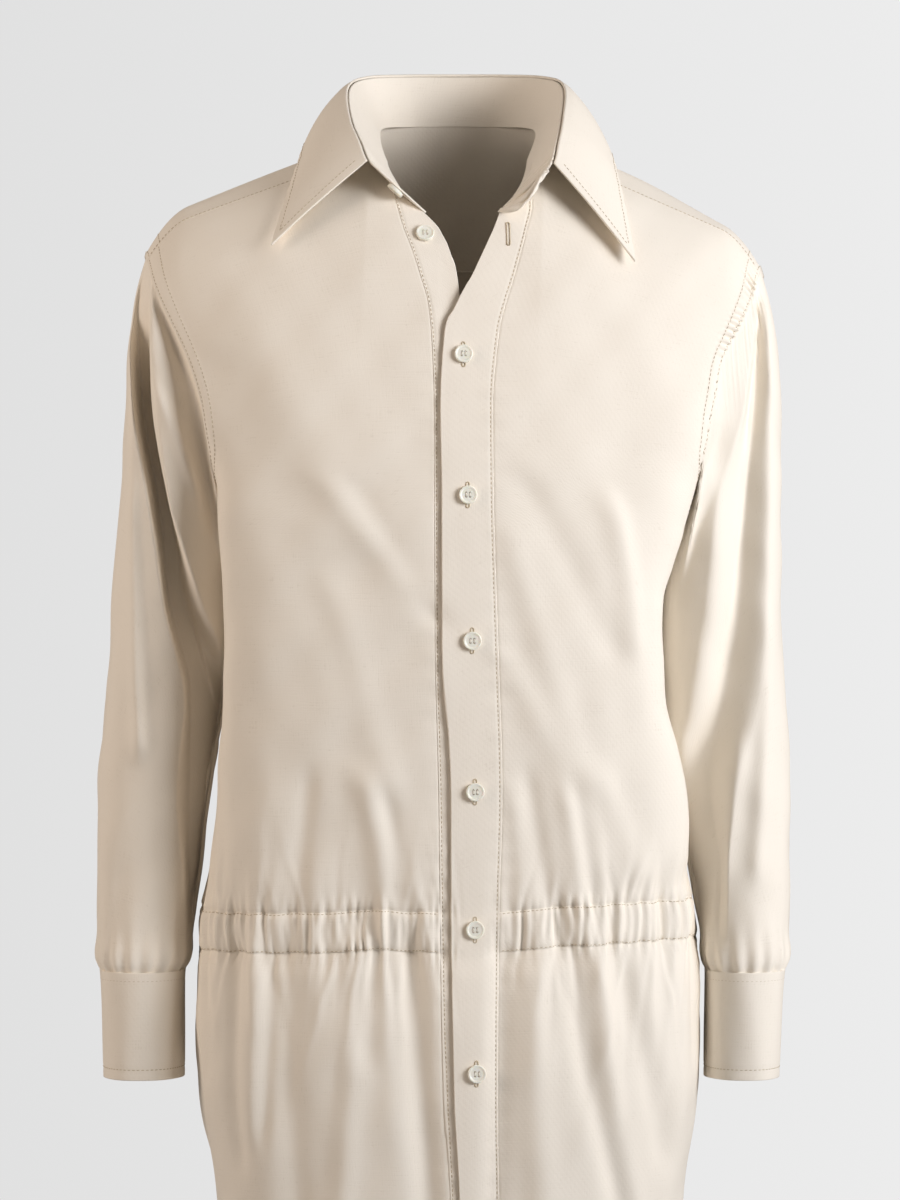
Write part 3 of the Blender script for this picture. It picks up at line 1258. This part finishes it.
# The cuffs: straight doubled bands, gathered onto the sleeve ends, closed behind the arm by one
# button. The slit above each cuff is bound with a narrow strip.

CUFF_OPENING = 290  # degrees round the sleeve, as the next ones
CUFF_OVERLAP = 32
CUFF_RAMP = 38  # the outer end rises onto the inner one over this angle
CUFF_STITCHES = (6.0, CUFF_BOTTOM - CUFF_TOP - 7.5)  # down from the cuff's upper edge


def cuff_surface(side):
    def surface(u, v):
        around = 360 + CUFF_OVERLAP
        turned = u * around
        lift = LAYER_LIFT * smooth(around - CUFF_OVERLAP - CUFF_RAMP, around - CUFF_OVERLAP, turned)
        down = v * (CUFF_BOTTOM - CUFF_TOP)
        for stitch in CUFF_STITCHES:
            lift = lift - STITCH_DEPTH * hump(down, stitch, 0.9)
        lift = lift + 0.5 * np.sin(turned / 23 + 1.7 * v) + 0.3 * np.sin(turned / 9 + 4 * v)
        turn = np.radians(CUFF_OPENING - CUFF_OVERLAP / 2 + turned)
        return sleeve_section(side, turn, -mix(CUFF_TOP, CUFF_BOTTOM, v), lift)

    return surface


CUFF_CUT = (250, 77)
SLIT_CUT = (17, 110)
SLIT_COLUMNS = (20 / 26, 22 / 26)  # shares round the sleeve
SLIT_START = 0.78  # a share of its length
SLIT_CLEAR = 0.7
SLIT_INSIDE = {side: (side * 218, 0, -550) for side in (RIGHT, LEFT)}
CUFF_INSIDE = {side: (side * 225, -14, -643) for side in (RIGHT, LEFT)}
for side_name, side in SIDES:
    u, v = np.meshgrid(shares(CUFF_CUT[0], DOUBLE_STEP), shares(CUFF_CUT[1], DOUBLE_STEP))
    piece = cloth_wall(f"cuff_{side_name}_twill", cuff_surface(side)(u, v), CUFF_INSIDE[side], DOUBLE_CLOTH)
    finish_cloth(piece, f"cuff_{side_name}")
    u = mix(SLIT_COLUMNS[0], SLIT_COLUMNS[1], shares(SLIT_CUT[0], 2.0))
    u, v = np.meshgrid(u, mix(SLIT_START, 1, shares(SLIT_CUT[1])))
    points = sleeve_surface(side)(u, v)
    normals, _ = outward_normals(points, SLIT_INSIDE[side])
    points = points + normals * (CLOTH + SLIT_CLEAR)
    piece = cloth_wall(f"sleeve_placket_{side_name}_twill", points, SLIT_INSIDE[side])
    finish_cloth(piece, f"sleeve_placket_{side_name}")

# Stitching: rows of lockstitch in a matching cotton-wrapped thread, about 3 mm a stitch, sunk a
# little in the cloth along the seams and edges.

THREAD_RADIUS = 0.26
STITCH_PITCH = 3.3
STITCH_LENGTH = 2.5
THREAD_SIDES = 4


def cloudy_material(name, scale, detail, dark, light, **surface):
    """A material whose colour drifts between two shades with the place on the piece."""
    material, tree = new_material(name)
    place = node(tree, "ShaderNodeTexCoord")
    clouds = node(tree, "ShaderNodeTexNoise", {}, {"Vector": place.outputs["Object"]},
                  Scale=scale, Detail=detail)
    ramp = node(tree, "ShaderNodeValToRGB", {}, {"Fac": clouds.outputs["Fac"]})
    ramp.color_ramp.elements[0].color = linear(dark)
    ramp.color_ramp.elements[1].color = linear(light)
    shader = node(tree, "ShaderNodeBsdfPrincipled", {}, {"Base Color": ramp.outputs["Color"]}, **surface)
    node(tree, "ShaderNodeOutputMaterial", {}, {"Surface": shader.outputs["BSDF"]})
    return material


# Cotton-wrapped thread: a shade darker than the cloth and a touch glossier than its brushed
# face, and the same thread in ivory for the buttons.
thread = cloudy_material("sewing_thread", 900.0, 1.0, "#b5a589", "#cfc0a5", Roughness=0.7, IOR=1.5)
button_thread = cloudy_material("ivory_thread", 900.0, 1.0, "#e9e2d2", "#f5f0e4", Roughness=0.7, IOR=1.5)


def seam_line(surface, u, v, inside):
    """Points and outward normals along a line of a surface."""
    u, v = np.broadcast_arrays(np.asarray(u, float), np.asarray(v, float))
    reach = 1e-3
    reach_down = 0.4 if v.max() > 2 else reach  # v is a drop in millimetres, or a share
    along = surface(u + reach, v) - surface(u - reach, v)
    down = surface(u, v + reach_down) - surface(u, v - reach_down)
    normals = np.cross(along, down)
    normals /= np.linalg.norm(normals, axis=-1, keepdims=True)
    points = surface(u, v)
    middle = len(points) // 2
    if np.dot(normals[middle], points[middle] - np.array(inside, float)) < 0:
        normals = -normals
    return points, normals


def stitch_mesh(name, seams):
    """One mesh of all the stitches along these lines of points and normals."""
    ring = 2 * np.pi * np.arange(THREAD_SIDES) / THREAD_SIDES
    places = np.array([0, 0.22, 0.78, 1.0])
    heights = np.array([-0.25, 0.16, 0.16, -0.25])
    radii = np.array([0.5, 1, 1, 0.5]) * THREAD_RADIUS
    verts, faces = [], []
    for points, normals in seams:
        lengths = np.concatenate([[0], np.cumsum(np.linalg.norm(np.diff(points, axis=0), axis=1))])
        count = int(lengths[-1] / STITCH_PITCH)
        starts = (np.arange(count) + 0.15) * STITCH_PITCH
        at = starts[:, None] + places * STITCH_LENGTH
        centres = np.stack([np.interp(at, lengths, points[:, k]) for k in range(3)], axis=-1)
        up = np.stack([np.interp(at, lengths, normals[:, k]) for k in range(3)], axis=-1)
        up /= np.linalg.norm(up, axis=-1, keepdims=True)
        run = centres[:, -1:] - centres[:, :1]
        run = run / np.linalg.norm(run, axis=-1, keepdims=True)
        across = np.cross(run, up)
        across /= np.linalg.norm(across, axis=-1, keepdims=True)
        centres = centres + up * heights[None, :, None]
        circle = (
            across[:, :, None] * np.cos(ring)[None, None, :, None]
            + up[:, :, None] * np.sin(ring)[None, None, :, None]
        )
        tube = centres[:, :, None] + circle * radii[None, :, None, None]
        first = sum(len(block) for block in verts)
        verts.append(tube.reshape(-1, 3))
        for stitch in range(count):
            base = first + stitch * len(places) * THREAD_SIDES
            for row in range(len(places) - 1):
                for k in range(THREAD_SIDES):
                    a = base + row * THREAD_SIDES + k
                    b = base + row * THREAD_SIDES + (k + 1) % THREAD_SIDES
                    faces.append((a, b, b + THREAD_SIDES, a + THREAD_SIDES))
            faces.append(tuple(base + k for k in reversed(range(THREAD_SIDES))))
            end = base + (len(places) - 1) * THREAD_SIDES
            faces.append(tuple(end + k for k in range(THREAD_SIDES)))
    piece = add_object(name, smooth_mesh(name, np.concatenate(verts), faces))
    piece.data.materials.append(thread)
    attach(piece, "root")
    return piece


def armhole_seams(side):
    """Two rows beside each armhole, on the front, the yoke's ends and the back."""
    seams = []
    for away in ARMHOLE_STITCHES:
        for face, first in ((FRONT, YOKE_FRONT), (BACK, YOKE_BACK)):
            drops = np.linspace(first + 2, UNDERARM - 8, 160)
            totals = row_lengths(face, drops)[0][-1]
            share = side * (1 - away / totals)

            def surface(u, v, face=face):
                return body_points(face, u, v)

            seams.append(seam_line(surface, share, drops, (side * 100, 0, -150)))
    return seams


for side_name, side in SIDES:
    stitch_mesh(f"armhole_stitching_{side_name}", armhole_seams(side))

seams = []
for surface in (upper_placket, lower_placket):
    drops = np.linspace(NECK_STITCH_DROP + 3, HEM - 3, 500)
    u = np.full_like(drops, 1 - PLACKET_STITCH / PLACKET_CUT[0])
    seams.append(seam_line(surface, u, drops, MIDDLE))
stitch_mesh("placket_stitching", seams)


def rows_round(drop):
    """One row all round the body, except over the plackets."""
    middle = (SWAY, 0, -drop)
    u = np.linspace(0.012, 0.997, 500)
    for side in (RIGHT, LEFT):
        yield seam_line(front_surface(side), u, np.full_like(u, drop), middle)
    u = np.linspace(0.003, 0.997, 700)
    yield seam_line(back_surface, u, np.full_like(u, drop), middle)


stitch_mesh("casing_stitching", [*rows_round(CASING_TOP + 1.0), *rows_round(CASING_BOTTOM - 1.0)])
stitch_mesh("hem_stitching", [*rows_round(HEM - HEM_DEPTH)])

seams = []
for side in (RIGHT, LEFT):
    u = np.linspace(0.015, 0.985, 300)
    for down in CUFF_STITCHES:
        v = np.full_like(u, down / (CUFF_BOTTOM - CUFF_TOP))
        seams.append(seam_line(cuff_surface(side), u, v, CUFF_INSIDE[side]))
    v = np.linspace(SLIT_START + 0.01, 0.985, 60)
    for edge in (0.12, 0.88):
        u = np.full_like(v, mix(*SLIT_COLUMNS, edge))
        points, normals = seam_line(sleeve_surface(side), u, v, SLIT_INSIDE[side])
        seams.append((points + normals * (CLOTH + SLIT_CLEAR), normals))
stitch_mesh("cuff_stitching", seams)


def leaf_seams():
    """A row inside the leaf's lower edge and one inside each of its ends."""
    v = np.linspace(0.06, 1, 100)
    near = np.linspace(0, 0.1, 80)
    ends = {}
    for start in (0, 1):
        across, down = np.meshgrid(np.abs(start - near), v)
        steps = np.linalg.norm(np.diff(leaf_surface(across, down), axis=1), axis=-1)
        lengths = np.concatenate([np.zeros((len(v), 1)), np.cumsum(steps, axis=1)], axis=1)
        inset = np.array([np.interp(LEAF_STITCH, row, near) for row in lengths])
        ends[start] = np.abs(start - inset)
    u = np.linspace(ends[0][-1], ends[1][-1], 600)
    across, down = np.meshgrid(u, np.linspace(0, 1, 40))
    depths = np.linalg.norm(np.diff(leaf_surface(across, down), axis=0), axis=-1).sum(axis=0)
    lower = 1 - LEAF_STITCH / depths
    yield seam_line(leaf_surface, u, lower, LEAF_INSIDE)
    for start, k in ((0, 0), (1, -1)):
        above = v < lower[k]
        yield seam_line(leaf_surface, ends[start][above], v[above], LEAF_INSIDE)


STAND_STITCH = 3.0  # from the neck seam
u = np.linspace(0.01, 0.99, 500)
v = np.full_like(u, (STAND_STITCH - NECK_DIP) / STAND_CUT[1])
stand_row = seam_line(stand_surface, u, v, STAND_INSIDE)
stitch_mesh("collar_stitching", [*leaf_seams(), stand_row])

seams = []
for v in (0.011, 0.989):
    u = np.linspace(-0.99, 0.99, 600)
    u = u[np.abs(u) > YOKE_NECK_END + 0.02] if v < 0.5 else u
    for part in (u[u < 0], u[u >= 0]):
        seams.append(seam_line(yoke_surface, part, np.full_like(part, v), YOKE_INSIDE))
for side in (RIGHT, LEFT):
    for away in ARMHOLE_STITCHES:
        v = np.linspace(0.012, 0.988, 80)
        u = np.full_like(v, side * (1 - away / YOKE_HALF))
        seams.append(seam_line(yoke_surface, u, v, YOKE_INSIDE))
stitch_mesh("yoke_stitching", seams)

# Buttons: twelve four-hole ivory resin buttons, 12.7 mm across, turned with a raised rim. Each
# is sewn on through its holes; ten of them sit on plackets and collar, one on each cuff.

BUTTON_RADIUS = 6.35
BUTTON_HEIGHT = 2.6
BUTTON_CLEAR = 0.6
CUFF_BUTTON_CLEAR = 0.7
HOLE_RADIUS = 0.75
HOLE_SPREAD = 1.35
RIM_WIDTH = 1.1
DISH_SLOPE = 0.7
DISH_DEPTH = 0.5
EDGE_ROUNDING = 0.45

# Cast polyester resin in ivory, tumbled to a soft polish: faint clouds, a clear highlight.
resin = cloudy_material(
    "ivory_resin", 220.0, 2.0, "#f1ebd9", "#faf6ea",
    Roughness=0.4, IOR=1.55, Subsurface_Weight=0.1, Coat_Weight=0.1, Coat_Roughness=0.25,
)


def button_model():
    """One button at the origin, face up: a disc, dished inside its rim, with four holes."""
    bpy.ops.object.select_all(action="DESELECT")
    bpy.ops.mesh.primitive_cylinder_add(
        vertices=48, radius=BUTTON_RADIUS * MM, depth=BUTTON_HEIGHT * MM,
        location=(0, 0, BUTTON_HEIGHT / 2 * MM),
    )
    button = bpy.context.object
    bpy.ops.object.transform_apply(location=True, rotation=True, scale=True)
    bpy.ops.object.mode_set(mode="EDIT")
    bpy.ops.mesh.select_mode(type="FACE")
    bpy.ops.mesh.select_all(action="DESELECT")
    bpy.ops.object.mode_set(mode="OBJECT")
    for face in button.data.polygons:
        face.select = face.normal.z > 0.9
    bpy.ops.object.mode_set(mode="EDIT")
    bpy.ops.mesh.inset(thickness=RIM_WIDTH * MM)
    bpy.ops.mesh.inset(thickness=DISH_SLOPE * MM, depth=-DISH_DEPTH * MM)
    bpy.ops.mesh.select_all(action="SELECT")
    bpy.ops.object.mode_set(mode="OBJECT")
    bevel = button.modifiers.new("rounded_edges", "BEVEL")
    bevel.width = EDGE_ROUNDING * MM
    bevel.segments = 3
    bpy.ops.object.modifier_apply(modifier=bevel.name)
    cutters = []
    for x, y in ((-1, -1), (1, -1), (-1, 1), (1, 1)):
        bpy.ops.mesh.primitive_cylinder_add(
            vertices=16, radius=HOLE_RADIUS * MM, depth=8 * MM,
            location=(x * HOLE_SPREAD * MM, y * HOLE_SPREAD * MM, 0),
        )
        cutters.append(bpy.context.object)
    for cutter in cutters:
        bpy.context.view_layer.objects.active = button
        holes = button.modifiers.new("hole", "BOOLEAN")
        holes.operation = "DIFFERENCE"
        holes.solver = "EXACT"
        holes.object = cutter
        bpy.ops.object.modifier_apply(modifier=holes.name)
    for cutter in cutters:
        bpy.data.objects.remove(cutter)
    bpy.ops.object.select_all(action="DESELECT")
    button.select_set(True)
    bpy.context.view_layer.objects.active = button
    bpy.ops.object.shade_smooth_by_angle(angle=math.radians(35))
    return button


STRAND_RADIUS = 0.2
STRAND_SIDES = 6
STRAND_REACH = 1.6  # a strand runs this far to each side
STRAND_HEIGHT = 2.15


def thread_model():
    """The sewing through one button's holes: two upright bars of two strands each."""
    verts, faces = [], []
    for x in (-HOLE_SPREAD - STRAND_RADIUS, -HOLE_SPREAD + STRAND_RADIUS,
              HOLE_SPREAD - STRAND_RADIUS, HOLE_SPREAD + STRAND_RADIUS):
        first = len(verts)
        places = np.linspace(-STRAND_REACH, STRAND_REACH, 7)
        for y in places:
            z = STRAND_HEIGHT + STRAND_RADIUS * (1 - (y / STRAND_REACH) ** 2)
            for turn in 2 * np.pi * np.arange(STRAND_SIDES) / STRAND_SIDES:
                verts.append((x + STRAND_RADIUS * math.cos(turn), y, z + STRAND_RADIUS * math.sin(turn)))
        for row in range(len(places) - 1):
            for k in range(STRAND_SIDES):
                a = first + row * STRAND_SIDES + k
                b = first + row * STRAND_SIDES + (k + 1) % STRAND_SIDES
                faces.append((a, a + STRAND_SIDES, b + STRAND_SIDES, b))
        last = first + (len(places) - 1) * STRAND_SIDES
        faces.append(tuple(first + k for k in range(STRAND_SIDES)))
        faces.append(tuple(last + k for k in reversed(range(STRAND_SIDES))))
    return smooth_mesh("button_thread", verts, faces)


BUTTONHOLE_LENGTH = 18
BUTTONHOLE_WIDTH = 2.2
BEAD_RADIUS = 0.45
BEAD_LIFT = 0.1


def buttonhole_model():
    """The sewn bead round a buttonhole: a long ring of close stitches, lying face up."""
    half = (BUTTONHOLE_LENGTH - BUTTONHOLE_WIDTH) / 2
    path = []
    for end in (1, -1):
        for turn in np.radians([0, 45, 90, 135, 180]):
            out_x, out_y = end * math.cos(turn), end * math.sin(turn)
            x = BUTTONHOLE_WIDTH / 2 * out_x
            y = end * half + BUTTONHOLE_WIDTH / 2 * out_y
            path.append((x, y, out_x, out_y))
    verts, faces = [], []
    for x, y, out_x, out_y in path:
        for k in range(4):
            turn = math.pi / 4 + math.pi / 2 * k
            out, up = BEAD_RADIUS * math.cos(turn), BEAD_RADIUS * math.sin(turn)
            verts.append((x + out * out_x, y + out * out_y, up + BEAD_LIFT))
    for row in range(len(path)):
        after = (row + 1) % len(path)
        for k in range(4):
            other = (k + 1) % 4
            faces.append((row * 4 + k, after * 4 + k, after * 4 + other, row * 4 + other))
    return smooth_mesh("buttonhole", verts, faces)


button_form = button_model()
thread_form = thread_model()
hole_form = buttonhole_model()


def place_copy(name, mesh, point, normal, material):
    """A copy of a mesh that was made face up, set on the cloth with its +Y towards the neck."""
    up = Vector(normal).normalized()
    right = (up.cross(Vector((0, 0, 1))) * -1).normalized()
    toward_neck = up.cross(right)
    turn = Matrix((right, toward_neck, up)).transposed().to_4x4()
    copy = mesh.copy()
    copy.transform(Matrix.Translation(Vector(point) * MM) @ turn)
    piece = add_object(name, copy)
    piece.data.materials.clear()
    piece.data.materials.append(material)
    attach(piece, "root")
    return piece


def sew_buttonhole(name, surface, u, v, inside):
    points, normals = seam_line(surface, np.array([u, u]), np.array([v, v]), inside)
    place_copy(name, hole_form, points[0], normals[0], thread)


def sew_button(cad_node, surface, u, v, inside, clear=BUTTON_CLEAR):
    points, normals = seam_line(surface, np.array([u, u]), np.array([v, v]), inside)
    place = points[0] + normals[0] * clear
    button = place_copy(f"{cad_node}_resin", button_form.data, place, normals[0], resin)
    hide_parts(cad_node)
    place_copy(f"{cad_node}_thread", thread_form, place, normals[0], button_thread)


# Each front button's x and its drop.
FRONT_BUTTONS = ((5, 164), (8, 262), (11, 363), (13, 468), (13, 564), (14, 663), (16, 765), (19, 867))
NECK_BUTTON_DROP = 78
STAND_BUTTON = 0.024


def at_stitch(drop, u):
    """The drop at the sewn edge of the placket's row that has this drop at u."""
    top = mix(NECK_FRONT_DROP, NECK_STITCH_DROP, u)
    return mix(NECK_STITCH_DROP, HEM, (drop - top) / (HEM - top))


for k, (x, drop) in enumerate(FRONT_BUTTONS):
    free, stitched = placket_edges("upper_free", drop), placket_edges("upper_stitch", drop)
    across = float((x - free) / (stitched - free))
    sew_button(f"button_{k + 2}", upper_placket, across, at_stitch(drop, across), MIDDLE)
    sew_buttonhole(f"buttonhole_{k + 2}", upper_placket, across, at_stitch(drop, across), MIDDLE)
sew_buttonhole("buttonhole_1", upper_placket, 0.5, at_stitch(NECK_BUTTON_DROP, 0.5), MIDDLE)
sew_button("button_1", lower_placket, 0.5, at_stitch(NECK_BUTTON_DROP, 0.5), MIDDLE)
sew_button("button_collar", stand_surface, STAND_BUTTON, 0.5, (0, 0, 0))
on_overlap = 1 - CUFF_OVERLAP / 2 / (360 + CUFF_OVERLAP)
for side_name, side in SIDES:
    cuff = cuff_surface(side)
    sew_button(f"button_cuff_{side_name}", cuff, on_overlap, 0.5, CUFF_INSIDE[side], CUFF_BUTTON_CLEAR)
bpy.data.objects.remove(button_form)
bpy.data.meshes.remove(thread_form)
bpy.data.meshes.remove(hole_form)

# The setting: a pale floor, soft studio light mostly from the dress's left in front, a weaker
# warm one from its right, and the camera level with the waist.

FLOOR_RADIUS = 3.4  # in metres, as all of the setting
FLOOR_Z = -1.4

bpy.ops.object.select_all(action="DESELECT")
bpy.ops.mesh.primitive_circle_add(vertices=96, radius=FLOOR_RADIUS, fill_type="NGON",
                                  location=(0, 0, FLOOR_Z))
floor = bpy.context.object
floor.name = "floor"
# Painted board, matt and pale.
floor.data.materials.append(
    cloudy_material("matt_painted_board", 3.0, 3.0, "#dcdcdc", "#e4e4e4", Roughness=0.85)
)

BACKDROP = ("#e0e0e0", "#ededed")  # from the picture's left to its right
BACKDROP_REACH = 0.12  # its shade changes over this much to each side of the way ahead
DOME = ("#524d48", "#877f77", "#959595")  # in front of the dress, beside it and behind it


def studio_world():
    """A pale backdrop to look at; as light it is bright behind the dress and dim in front."""
    world = bpy.data.worlds.new("studio")
    world.use_nodes = True
    tree = world.node_tree
    tree.nodes.clear()
    place = node(tree, "ShaderNodeTexCoord")
    parts = node(tree, "ShaderNodeSeparateXYZ", {}, {"Vector": place.outputs["Generated"]})
    across = node(tree, "ShaderNodeMapRange", {}, {"Value": parts.outputs["X"]},
                  From_Min=-BACKDROP_REACH, From_Max=BACKDROP_REACH)
    backdrop = node(tree, "ShaderNodeValToRGB", {}, {"Fac": across.outputs["Result"]})
    backdrop.color_ramp.elements[0].color = linear(BACKDROP[0])
    backdrop.color_ramp.elements[1].color = linear(BACKDROP[1])
    depth = node(tree, "ShaderNodeMapRange", {}, {"Value": parts.outputs["Y"]}, From_Min=-1.0, From_Max=1.0)
    dome = node(tree, "ShaderNodeValToRGB", {}, {"Fac": depth.outputs["Result"]})
    dome.color_ramp.elements[0].color = linear(DOME[0])
    dome.color_ramp.elements[1].color = linear(DOME[2])
    dome.color_ramp.elements.new(0.5).color = linear(DOME[1])
    ambient = node(tree, "ShaderNodeBackground", {}, {"Color": dome.outputs["Color"]}, Strength=1.0)
    seen = node(tree, "ShaderNodeBackground", {}, {"Color": backdrop.outputs["Color"]}, Strength=1.0)
    path = node(tree, "ShaderNodeLightPath")
    both = node(tree, "ShaderNodeMixShader", {}, {"Fac": path.outputs["Is Camera Ray"]})
    tree.links.new(ambient.outputs[0], both.inputs[1])
    tree.links.new(seen.outputs[0], both.inputs[2])
    node(tree, "ShaderNodeOutputWorld", {}, {"Surface": both.outputs[0]})
    return world


bpy.context.scene.world = studio_world()


def area_light(name, place, target, size, power, spread, colour):
    light = bpy.data.lights.new(name, "AREA")
    light.shape = "RECTANGLE"
    light.size, light.size_y = size
    light.energy = power
    light.spread = math.radians(spread)
    light.color = linear(colour)[:3]
    holder = add_object(name, light)
    holder.location = place
    holder.rotation_euler = (Vector(target) - Vector(place)).to_track_quat("-Z", "Y").to_euler()


area_light("key", (2.2, -1.2, 0.1), (0.05, 0.0, -0.35), (1.0, 1.2), 6.2, 80, "#ecf3ff")
area_light("front_light", (1.9, -1.6, 0.35), (0.1, 0.0, -0.05), (1.0, 1.2), 8.3, 75, "#fffcfb")
area_light("fill", (-1.9, -0.7, 0.25), (0.0, 0.0, -0.15), (1.2, 1.4), 10.0, 120, "#ffefe2")

CAMERA_DISTANCE = 3.2
CAMERA_X = -0.0043
CAMERA_Z = -0.3348
FRAME_HEIGHT = 0.864  # what the camera takes in at the dress, along its longer side
SENSOR = 36

camera = bpy.data.cameras.new("camera")
camera.sensor_fit = "AUTO"
camera.sensor_width = SENSOR
camera.lens = SENSOR * CAMERA_DISTANCE / FRAME_HEIGHT
camera_holder = add_object("camera", camera)
camera_holder.location = (CAMERA_X, -CAMERA_DISTANCE, CAMERA_Z)
camera_holder.rotation_euler = (math.radians(90), 0, 0)
bpy.context.scene.camera = camera_holder
bpy.context.scene.view_settings.view_transform = "Standard"
